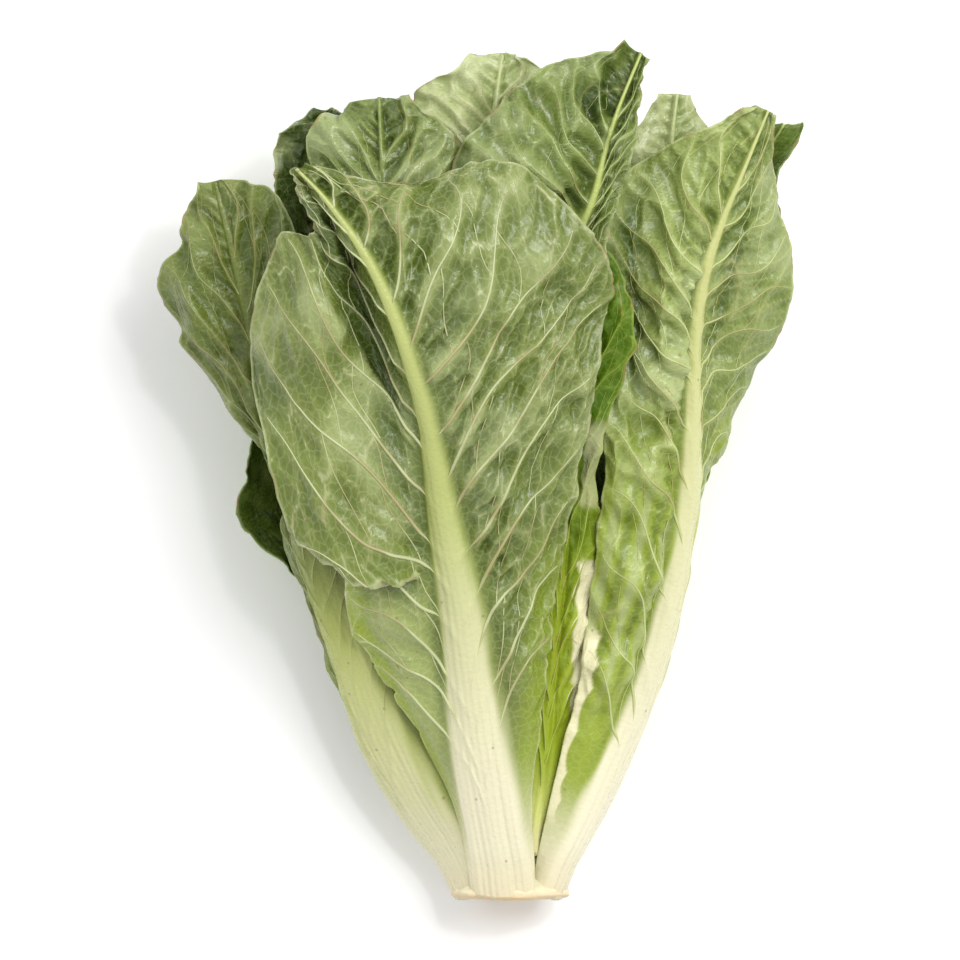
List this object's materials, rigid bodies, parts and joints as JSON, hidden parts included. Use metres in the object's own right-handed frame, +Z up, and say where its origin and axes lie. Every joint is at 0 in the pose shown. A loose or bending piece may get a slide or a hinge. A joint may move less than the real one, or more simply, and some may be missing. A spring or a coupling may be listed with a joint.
{
  "type": "romaine lettuce head",
  "caption": "Whole head of romaine lettuce lying on its back: long ribbed leaves that spread from a cut stem butt, round a small rolled heart.",
  "frame": {"origin": "on the surface the head lies on, under the middle of its length and width", "axes": "+Y along the head from the cut butt to the leaf tips, +Z up from the surface, +X to the right when seen from above with the tips away"},
  "size_m": [0.2145, 0.2852, 0.1198],
  "materials": {
    "outer_leaf": "satin",
    "inner_leaf": "satin",
    "dark_leaf": "satin",
    "heart_leaf": "satin",
    "stem": "matte"
  },
  "bodies": {
    "root": {"heart_leaf_1": "heart_leaf", "heart_leaf_2": "heart_leaf", "heart_leaf_3": "heart_leaf", "heart_leaf_4": "heart_leaf", "heart_leaf_5": "heart_leaf", "heart_leaf_6": "heart_leaf", "heart_leaf_7": "heart_leaf", "heart_leaf_8": "heart_leaf", "leaf_crown": "outer_leaf", "leaf_front": "outer_leaf", "leaf_left": "outer_leaf", "leaf_right": "outer_leaf", "leaf_side_left": "inner_leaf", "leaf_side_right": "inner_leaf", "leaf_slot": "inner_leaf", "leaf_top": "outer_leaf", "leaf_top_right": "inner_leaf", "leaf_under": "inner_leaf", "leaf_under_left": "dark_leaf", "leaf_under_right": "dark_leaf", "leaf_upper_left": "outer_leaf", "stem_core": "stem"}
  },
  "joints": []
}
